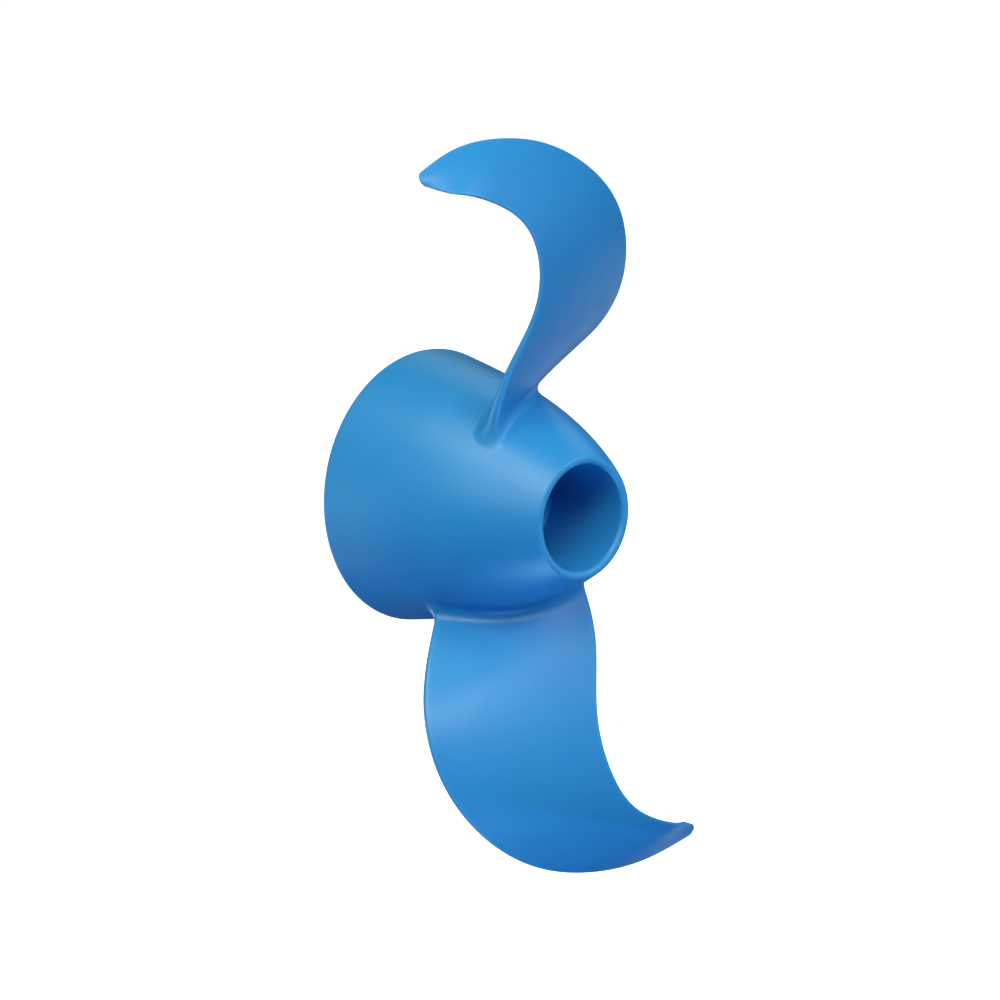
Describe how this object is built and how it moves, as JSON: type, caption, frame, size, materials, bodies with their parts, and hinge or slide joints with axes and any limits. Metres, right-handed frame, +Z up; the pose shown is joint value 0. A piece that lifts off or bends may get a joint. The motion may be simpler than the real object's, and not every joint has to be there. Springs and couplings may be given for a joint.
{
  "type": "two-blade boat propeller",
  "caption": "Moulded boat propeller with sickle-shaped weedless blades, a tapered hub with a deep nut recess, and a metal shaft bush with a drive pin slot.",
  "frame": {"origin": "on the shaft axis, in the plane of the hub's large end", "axes": "+X along the shaft axis, out of the small end with the nut recess; +Z up, along the upper blade"},
  "size_m": [0.0768, 0.1252, 0.2538],
  "materials": {
    "moulding": "satin moulded plastic in mid blue",
    "bush": "turned brass"
  },
  "bodies": {
    "root": {"propeller": "moulding", "shaft_bush": "bush"}
  },
  "joints": []
}
